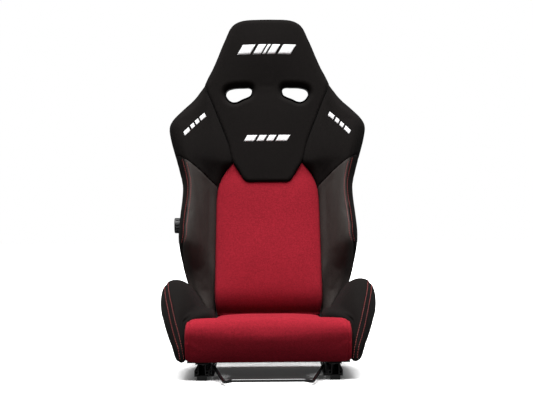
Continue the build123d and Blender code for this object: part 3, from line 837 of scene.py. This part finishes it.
def make_back_panel():
    """Red panel: flat across, rolled under at the foot, and drawn in along its two side seams."""
    heights = np.r_[np.linspace(PANEL_FOOT, 110, 26), np.linspace(115, PANEL_TOP, 76)]
    rings = []
    for h, w in zip(heights, column_at(PANEL_WIDTH, 1, heights)):
        under = (ROLL_TOP - min(h, ROLL_TOP)) / ROLL_RADIUS
        roll = ROLL_DEPTH * (1 - np.sqrt(np.clip(1 - under ** 2, 0.02, 1)))
        lumbar = 8 * math.exp(-((h - 180) / 90) ** 2)
        crown = (3 + lumbar) * (1 - smoothstep(395, PANEL_TOP, h))
        front = min(-22 + roll, 14) + 4 * smoothstep(385, 440, h)
        half = [
            (0, front - crown), (0.35 * w, front - crown * 0.86), (0.66 * w, front - crown * 0.55),
            (w - 26, front - crown * 0.24 - 0.5), (w - 8, front + 0.2), (w - 2.2, front + 2.6),
            (w - 0.6, front + 7), (w - 1.0, FOAM_BACK),
        ]
        ring = both_halves(half, 40)
        rings.append(np.c_[ring, np.full(len(ring), h)])
    piece = loft("back_panel_cover", rings, dome=(1.5, 2))
    co = coords(piece) / MM
    width = column_at(PANEL_WIDTH, 1, np.clip(co[:, 2], PANEL_FOOT, PANEL_TOP))
    free = smoothstep(4, 34, width - np.abs(co[:, 0])) * smoothstep(10, -8, co[:, 1])
    free = free * smoothstep(40, 70, co[:, 2])
    puff(piece, free * (1 - smoothstep(380, 410, co[:, 2])), 3.0, 4.0)
    cut_away(piece, [lumbar_pocket(16.5, 45)])
    piece.data.transform(LEAN)
    dress(piece, RED, "red_fabric", "backrest")
    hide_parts("back_panel")


# ---- backrest: head and chest pad
HEAD_HALF = [
    (0, 405), (30, 405), (54, 405.5), (62, 408), (68, 415), (80, 436), (99, 469), (108, 508), (122.5, 552),
    (138, 592), (155, 637), (174, 681), (178, 698), (171, 720), (154, 756), (140, 791), (126.5, 827),
    (119, 845), (112, 863), (105.5, 877), (94, 890.5), (82, 897.5), (62, 903), (30, 904.5), (0, 905),
]
HOLE = [
    (120, 760), (117.5, 769), (110, 775.5), (98, 779), (66, 781), (52, 781), (45, 778), (42, 771),
    (42.5, 761), (46, 753), (54, 748), (70, 741.5), (87, 733.5), (98, 733), (108, 738), (116, 748),
]


HOLE_LIP = 13.0


def hole_outline(side, grow=0.0):
    """Outline of one belt hole in x and z, seen along the seat's own y; grow widens it all round."""
    loop = outline_loop(HOLE, 3.0)
    run = np.roll(loop, -1, axis=0) - np.roll(loop, 1, axis=0)
    out = np.c_[run[:, 1], -run[:, 0]] / np.linalg.norm(run, axis=1, keepdims=True)
    turning = np.sign(((loop - loop.mean(0)) * out).sum())
    return (loop + out * turning * grow) * np.array([SIDES[side], 1])


def tunnel(side, name, grow=0.0):
    """Level belt tunnel through the backrest, in the upright frame."""
    tool = prism(name, hole_outline(side, grow), 330, 590)
    tool.data.transform(UPRIGHT)
    return tool


def hole_gap(co):
    """Distance in millimetres from each upright point to the nearest tunnel's wall, seen along the tunnel."""
    row = leaned(co)
    flat = row[:, [0, 2]]
    return np.minimum(distance_to(hole_outline("left"), flat), distance_to(hole_outline("right"), flat))


def make_head_pad():
    """Head and chest pad: one cloth cover, rounded at the head, sunk round the two belt holes."""
    outline = symmetric_outline(HEAD_HALF)
    piece = prism("head_pad_cover", outline, HEAD_FRONT, FOAM_BACK)
    cut_away(piece, [tunnel(side, "tunnel_tool") for side in SIDES])
    remesh(piece, 4.0, 3)
    co = coords(piece) / MM
    x, y, h = co.T
    rim = distance_to(outline, co[:, [0, 2]])
    hole = hole_gap(co)
    radius = 3.5 + 20.5 * smoothstep(640, 730, h)
    edge_drop = radius - np.sqrt(np.clip(radius ** 2 - np.clip(radius - rim, 0, None) ** 2, 0, None))
    to_lip = np.clip(HOLE_LIP - hole, 0, None)
    hole_drop = 1.5 * (HOLE_LIP - np.sqrt(np.clip(HOLE_LIP ** 2 - to_lip ** 2, 0, None)))
    basin = 3.0 * (1 - smoothstep(5, 15, hole))
    head_crown = 9 * np.exp(-((x / 95) ** 2) - ((h - 800) / 70) ** 2)
    neck = 3.5 * np.exp(-((x / 60) ** 2) - ((h - 690) / 45) ** 2)
    chest = 3 * np.exp(-((x / 70) ** 2) - ((h - 520) / 90) ** 2)
    front = HEAD_FRONT + edge_drop + hole_drop + basin + neck - head_crown - chest
    share = (FOAM_BACK - y) / (FOAM_BACK - HEAD_FRONT)
    co[:, 1] = FOAM_BACK - share * (FOAM_BACK - front)
    set_coords(piece, co * MM)
    free = smoothstep(8, 34, np.minimum(rim, hole)) * smoothstep(0.6, 0.9, share)
    puff(piece, free, 2.5, 3.5)
    soften(piece, 3)
    piece.data.transform(LEAN)
    dress(piece, BLACK_CLOTH, "black_fabric", "backrest")
    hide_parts("head_pad")
    return piece


# ---- backrest: rear shell and belt hole liners
SHELL_HALF = [
    (0, 16), (80, 16), (138, 16), (150, 24), (158, 52), (178, 76), (206, 104), (222, 160), (228, 234),
    (221, 330), (226, 400), (239, 450), (254, 520), (252, 556), (232, 592), (196, 645), (164, 700),
    (150, 735), (133, 780), (112, 834), (98, 862), (80, 876), (50, 881), (0, 882),
]
# Bosses under the heads of the cover's clips.
CLIP_PLACES, CLIP_LEVEL = [(118, 60), (178, 430), (70, 840)], 70.6
DOME_WIDTH, DOME_RISE, SHELL_RIM = 46.0, 28, 6


def make_back_shell():
    """Moulded shell behind the foam, domed towards its middle, with a raised field and the belt holes."""
    outline = symmetric_outline(SHELL_HALF)
    piece = prism("back_shell_cover", outline, SHELL_FRONT, SHELL_FRONT + SHELL_DEPTH)
    cut_away(piece, [tunnel(side, "tunnel_tool") for side in SIDES] + [lumbar_pocket(20, 59)])
    remesh(piece, 4.5, 2)
    co = coords(piece) / MM
    rim = distance_to(outline, co[:, [0, 2]])
    hole = hole_gap(co)
    share = (co[:, 1] - SHELL_FRONT) / SHELL_DEPTH
    curve = np.sqrt(np.clip(1 - (1 - np.clip(rim / DOME_WIDTH, 0, 1)) ** 2, 0, 1))
    step = 2.2 * smoothstep(58, 66, rim)
    lip = 1.8 * np.exp(-((hole - 5) / 4) ** 2)
    back = SHELL_FRONT + SHELL_RIM + DOME_RISE * curve + step + lip
    for x, z in CLIP_PLACES:
        near = 1 - smoothstep(10, 27, np.hypot(np.abs(co[:, 0]) - x, co[:, 2] - z))
        back = back + np.maximum(CLIP_LEVEL - back, 0) * near
    co[:, 1] = SHELL_FRONT + share * (back - SHELL_FRONT)
    set_coords(piece, co * MM)
    soften(piece, 2)
    piece.data.transform(LEAN)
    dress(piece, SHELL, "rear_shell_plastic", "backrest")
    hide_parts("back_cover")
    piping("back_piping", np.c_[outline[:, 0], np.full(len(outline), PIPING_LEVEL), outline[:, 1]], 2.6)


def piping(name, route, radius):
    """Round trim bead along a closed route in the upright frame."""
    curve = bpy.data.curves.new(name, "CURVE")
    curve.dimensions = "3D"
    curve.bevel_depth, curve.bevel_resolution = radius * MM, 3
    spline = curve.splines.new("POLY")
    spline.points.add(len(route) - 1)
    for point, place in zip(spline.points, leaned(route) * MM):
        point.co = (*place, 1)
    spline.use_cyclic_u = True
    holder = add_object(name, curve)
    mesh = bpy.data.meshes.new_from_object(holder.evaluated_get(bpy.context.evaluated_depsgraph_get()))
    bpy.data.objects.remove(holder)
    shade_smooth(mesh)
    dress(add_object(name, mesh), VINYL, "black_vinyl", "backrest")


def make_hole_liner(side):
    """Moulded liner in each belt hole, sunk behind the cloth and flared over the rear shell."""
    profile = [
        # how far back, growth of the outline
        (0, -0.2), (30, -0.2), (60, 0), (67, 3), (70, 6.5), (72, 6), (72.5, 3), (70, -1.0), (60, -1.8),
        (30, -1.8), (0, -1.8), (-1, -1),
    ]
    level = np.array(UPRIGHT)[:3, 1]
    verts, faces = [], []
    for depth, grow in profile:
        loop = hole_outline(side, grow)
        rows = np.c_[loop[:, 0], np.zeros(len(loop)), loop[:, 1]]
        flat = placed(rows, UPRIGHT)
        verts.append(flat + ((depth - flat[:, 1]) / level[1])[:, None] * level)
    count, layers = len(verts[0]), len(profile)
    for r in range(layers):
        for c in range(count):
            d, n = (c + 1) % count, (r + 1) % layers
            faces.append((r * count + c, r * count + d, n * count + d, n * count + c))
    piece = new_piece(f"belt_hole_liner_{side}", np.concatenate(verts), faces)
    piece.data.transform(LEAN)
    dress(piece, PLASTIC, "black_plastic", "backrest")
    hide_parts(f"harness_liner_{side}")


# ---- base: bolsters
BASE_STATIONS = [
    # y, inner x, foot x, widest x, widest z, top x, top z, inner shoulder z
    (-196, 208, 222, 227, 72, 220, 84, 76),
    (-182, 208, 226, 238, 92, 226, 118, 104),
    (-162, 207.5, 228, 249, 120, 232, 154, 140),
    (-140, 190, 229, 256, 141, 236, 181, 158),
    (-110, 168, 229, 263, 160, 240, 206, 164),
    (-60, 145, 229, 271, 182, 244, 233, 167),
    (0, 142, 229, 276.5, 191, 245, 244, 169),
    (60, 142, 228, 273, 188, 241, 241, 168),
    (110, 142, 225, 266, 180, 235, 228, 165),
    (150, 142, 220, 253, 164, 223, 204, 159),
    (178, 142, 214, 233, 138, 208, 170, 150),
    (186, 143, 210, 222, 122, 200, 150, 144),
]
BASE_BEFORE, BASE_AFTER = 20, 26
# Outer side of the seat plate, which a bolster is undercut to clear.
PLATE_SIDE = 206.0


def base_rings():
    """Rings along the right base bolster: up the outside, over the top, down the inside and under."""
    table = np.array(BASE_STATIONS, float)
    ys = np.linspace(table[0, 0], table[-1, 0], 84)
    rows = through(table[:, 0], table[:, 1:], ys)
    rings = []
    for y, (inner, foot, wide, wide_z, top, top_z, shoulder) in zip(ys, rows):
        fall = top_z - shoulder
        reach = top - inner
        shape = [
            (foot - 7, 45.5), (foot, 50), (foot + 0.45 * (wide - foot), 50 + 0.42 * (wide_z - 50)),
            (wide - 1.5, wide_z - 0.22 * (wide_z - 50)), (wide, wide_z + 4),
            (wide - 0.22 * (wide - top), wide_z + 0.62 * (top_z - wide_z)),
            (top + 0.30 * (wide - top), top_z - 0.06 * (top_z - wide_z)),
            (top - 0.10 * reach, top_z - 0.01 * fall), (top - 0.26 * reach, top_z - 0.09 * fall),
            (top - 0.40 * reach, top_z - 0.26 * fall), (top - 0.56 * reach, top_z - 0.60 * fall),
            (top - 0.68 * reach, top_z - 0.90 * fall), (top - 0.78 * reach, shoulder),
            (inner + 9, shoulder - 3), (inner + 3, shoulder - 7), (inner, shoulder - 14),
        ]
        section = seamed_section(shape, 5, BASE_BEFORE, BASE_AFTER, 10)
        floor = max(min(shoulder - 20, 106), 58)
        step = min(PLATE_SIDE, inner + 30) if inner < 200 else inner
        under = [(inner, floor), (max(step, inner), floor), (max(PLATE_SIDE, inner), 47.5)]
        ring = np.r_[section, under]
        rings.append(np.c_[ring[:, 0], np.full(len(ring), y), ring[:, 1]])
    rings = np.array(rings)
    press_seam(rings, BASE_BEFORE, (0, 2))
    return rings, ys


def make_base_bolsters():
    """Hip bolsters: cloth over foam, with a double-stitched seam along the outside of the crest."""
    rings, ys = base_rings()
    right = loft("base_bolster_right_cover", rings, dome=(5, 5))
    co = coords(right) / MM
    inner = column_at(BASE_STATIONS, 1, co[:, 1])
    free = smoothstep(3, 20, co[:, 0] - inner) * smoothstep(55, 80, co[:, 2])
    free *= smoothstep(-196, -165, co[:, 1]) * (1 - smoothstep(165, 184, co[:, 1]))
    puff(right, free, 2.5, 4.0)
    left = mirrored(right, "base_bolster_left_cover")
    for side, cover in (("right", right), ("left", left)):
        dress(cover, BLACK_CLOTH, "black_fabric", "seat_base", upright=False)
        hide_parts(f"base_bolster_{side}")
        flip = np.array([SIDES[side], 1, 1])
        routes = []
        for k in (2, 9):
            column = rings[:, BASE_BEFORE + k]
            foot = column[0] + np.outer(np.linspace(1, 0, 8, endpoint=False), [-5, -4, 50 - column[0, 2]])
            routes.append(np.r_[foot, column] * flip)
        stitching(f"base_stitching_{side}", cover, routes, "seat_base")


# ---- base: cushion
NOSE_HALF = 205
NOSE_SEAM = 196
# How full the roll is at each x, from its right end inward.
NOSE_END = [(NOSE_HALF, 0.60), (203, 0.76), (198, 0.87), (188, 0.955), (170, 0.99), (120, 1.0)]
# Height of the seat cushion's sides at each y.
CUSHION_LEVEL = [(-157, 150), (-120, 149), (0, 147), (120, 143.5), (180, 140), (197, 133)]


def make_cushion_nose():
    """Thick roll across the front, fuller at half height, with sewn end caps."""
    table = [(-x, full) for x, full in NOSE_END] + [(0, 1.0)] + NOSE_END[::-1]
    xs = np.r_[np.linspace(-NOSE_HALF, -165, 22), np.linspace(-160, 160, 60), np.linspace(165, NOSE_HALF, 22)]
    rings = []
    for x, full in zip(xs, column_at(table, 1, xs)):
        crown = 2.0 * (1 - (x / NOSE_HALF) ** 2)
        points = [
            (-158, 140), (-166, 150 + crown), (-180, 153 + crown), (-198, 152 + crown), (-213, 146),
            (-222, 136), (-225.5, 122), (-223.5, 106), (-218, 88), (-211, 70), (-203, 55), (-196, 47.5),
            (-186, 44.5), (-170, 46), (-160, 50),
        ]
        section = even_section(points, 54)
        centre = np.array([-178, 96.0])
        lower = section[:, 1] < centre[1]
        shrink = (1 - full) * np.where(lower, 0.45, 1.0)
        section = centre + (section - centre) * (1 - shrink[:, None] * np.array([0.45, 1.0]))
        rings.append(np.c_[np.full(len(section), x), section])
    piece = loft("cushion_nose_cover", rings, dome=(1.5, 1.5))
    co = coords(piece) / MM
    free = smoothstep(-160, -176, co[:, 1]) * (1 - smoothstep(186, 200, np.abs(co[:, 0])))
    free *= smoothstep(46, 62, co[:, 2])
    puff(piece, free, 3.0, 4.0)
    seam = 1 - smoothstep(0, 3.5, np.abs(np.abs(coords(piece)[:, 0] / MM) - NOSE_SEAM))
    tuck(piece, seam, 1.4)
    dress(piece, RED, "red_fabric", "seat_base", upright=False)
    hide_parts("cushion_nose")


def make_cushion_center():
    """Seat cushion between the bolsters, crowned across and drawn in at its side seams."""
    ys = np.linspace(CUSHION_LEVEL[0][0], CUSHION_LEVEL[-1][0], 64)
    rings = []
    for y, level in zip(ys, column_at(CUSHION_LEVEL, 1, ys)):
        half = [
            (0, level + 2.5), (50, level + 2.2), (95, level + 1), (122, level - 0.5), (133, level - 3.5),
            (138, level - 9), (138.6, level - 22), (138, 92),
        ]
        ring = both_halves(half, 34)
        rings.append(np.c_[ring[:, 0], np.full(len(ring), y), ring[:, 1]])
    piece = loft("cushion_center_cover", rings, dome=(1, 8))
    co = coords(piece) / MM
    free = smoothstep(3, 30, 139 - np.abs(co[:, 0])) * smoothstep(125, 136, co[:, 2])
    free *= smoothstep(-157, -135, co[:, 1]) * (1 - smoothstep(165, 190, co[:, 1]))
    puff(piece, free, 3.0, 5.0)
    dress(piece, RED, "red_fabric", "seat_base", upright=False)
    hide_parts("cushion_center")


# ---- embroidered marks
# How far the middle of a satin bar and its edge stand above the cloth, and how thick it is.
SATIN_RISE, SATIN_EDGE, SATIN_THICK = 0.7, 0.15, 0.9


def slanted_bars(name, cover, centre, bars, height, turn=0.0, lean=0.55):
    """Satin-stitched slanted bars in a row, with no lettering; bars gives each one's middle and width."""
    surface = surface_of(cover)
    way = (LEAN.to_3x3() @ Vector((0, 1, 0))).normalized()
    turn = math.radians(turn)
    rows = 5
    verts, faces = [], []
    for middle, width in bars:
        columns = max(3, round(width / 2))
        first = len(verts)
        for i in range(columns + 1):
            for j in range(rows + 1):
                z = height * (j / rows - 0.5)
                x = middle + width * (i / columns - 0.5) + lean * z
                side = x * math.cos(turn) - z * math.sin(turn)
                up = x * math.sin(turn) + z * math.cos(turn)
                start = LEAN @ (Vector((centre[0] + side, -200, centre[1] + up)) * MM)
                hit = surface.ray_cast(start, way)
                inside = 0 < i < columns and 0 < j < rows
                verts.append(hit[0] + hit[1] * (SATIN_RISE if inside else SATIN_EDGE) * MM)
        for i in range(columns):
            for j in range(rows):
                a = first + i * (rows + 1) + j
                faces.append((a, a + rows + 1, a + rows + 2, a + 1))
    mesh = raw_mesh(name, verts, faces)
    tidy_mesh(mesh)
    piece = add_object(name, mesh)
    thick = piece.modifiers.new("thick", "SOLIDIFY")
    thick.thickness, thick.offset = SATIN_THICK * MM, 0.0
    apply_modifiers(piece)
    dress(piece, WHITE_THREAD, "black_fabric", "backrest", uv=False)


def make_marks(head, wings):
    """Generic marks where a maker would sew its own: head, chest and both shoulders."""
    slanted_bars("head_mark", head, (0, 800), [(-58, 36), (-20, 22), (0, 8), (20, 22), (58, 36)], 30)
    slanted_bars("chest_mark", head, (0, 532), [(-47, 28), (-16, 20), (11, 20), (44, 32)], 18)
    shoulder_bars = [(-35, 22), (-10, 14), (10, 14), (34, 22)]
    for side, way in SIDES.items():
        slanted_bars(f"shoulder_mark_{side}", wings[side], (way * 202, 562), shoulder_bars, 11,
                     turn=-52 * way, lean=0.5 * -way)


# ---- floor, light and camera
# The floor looks white but sends little light back up. Its glow is painted light: a faint one everywhere lightens
# the seat's shadow, and a strong one beside the rails paints the shadow out there.
FLOOR_SIZE = 60
FLOOR_BOUNCE, SKY_FILL = 0.10, 0.10
SHADOW_LIFT_GLOW, SIDE_SHADOW_GLOW = 0.035, 0.8
GLOW_STARTS, GLOW_FULL = 0.17, 0.28


def make_studio():
    """White floor whose painted glow lightens and narrows the seat's shadow, an even sky and one broad overhead
    light.
    """
    bpy.ops.mesh.primitive_plane_add(size=FLOOR_SIZE)
    floor = bpy.context.object
    floor.name = "studio_floor"
    n = Nodes("studio_floor")
    place = n.position()
    cloud = n.noise(place, 0.8)
    seen = n.add("LightPath").outputs["Is Camera Ray"]
    paper = n.mix(cloud, rgb(0.93, 0.93, 0.93), rgb(0.95, 0.95, 0.95))
    # Painted light: for the camera the floor glows faintly all over and strongly beside the rails, over the seat's
    # shadow.
    aside = n.math("ABSOLUTE", n.add("SeparateXYZ", Vector=place).outputs["X"], 0.0)
    beside = n.ramp(aside, GLOW_STARTS, GLOW_FULL)
    glow = n.math("ADD", SHADOW_LIFT_GLOW, n.math("MULTIPLY", beside, SIDE_SHADOW_GLOW))
    dim = rgb(FLOOR_BOUNCE, FLOOR_BOUNCE, FLOOR_BOUNCE)
    floor.data.materials.append(n.finish(
        Base_Color=n.mix(seen, dim, paper), Roughness=0.8, Specular_IOR_Level=0.1,
        Emission_Color=rgb(1, 1, 1), Emission_Strength=n.math("MULTIPLY", seen, glow),
    ))

    scene = bpy.context.scene
    scene.view_settings.view_transform = "Standard"
    world = bpy.data.worlds.new("studio")
    world.use_nodes = True
    scene.world = world
    tree = world.node_tree
    sky = tree.nodes["Background"]
    sky.inputs["Color"].default_value = rgb(1, 1, 1)
    path = tree.nodes.new("ShaderNodeLightPath")
    level = tree.nodes.new("ShaderNodeMapRange")
    level.inputs["To Min"].default_value = SKY_FILL
    level.inputs["To Max"].default_value = 1.0
    tree.links.new(path.outputs["Is Camera Ray"], level.inputs["Value"])
    tree.links.new(level.outputs[0], sky.inputs["Strength"])

    overhead = bpy.data.lights.new("overhead", "SUN")
    overhead.energy, overhead.angle = 6.7, math.radians(52)
    aim_light(overhead, (0, -0.99, 4.0), (0, 0, 0.3))


def aim_light(light, place, target):
    lamp = add_object(light.name, light)
    lamp.location = place
    lamp.rotation_euler = (Vector(target) - Vector(place)).to_track_quat("-Z", "Y").to_euler()


def make_camera():
    """Level camera, a little above the cushion and a little to the seat's right, with a slight rise."""
    camera = bpy.data.cameras.new("camera")
    camera.sensor_width, camera.lens = 36.0, 107.7
    camera.shift_y = 0.0469
    holder = add_object("camera", camera)
    place = Vector((0.015, -4.122, 0.3833))
    holder.location = place
    level = (Vector((-0.003, 0.05, place.z)) - place).to_track_quat("-Z", "Y")
    holder.rotation_euler = (level @ Quaternion((0, 0, 1), math.radians(-0.5))).to_euler()
    bpy.context.scene.camera = holder


make_camera()
make_studio()
dress_cad_nodes()
wings = make_back_sides()
make_back_panel()
head = make_head_pad()
make_back_shell()
for side in SIDES:
    make_hole_liner(side)
make_base_bolsters()
make_cushion_nose()
make_cushion_center()
make_marks(head, wings)
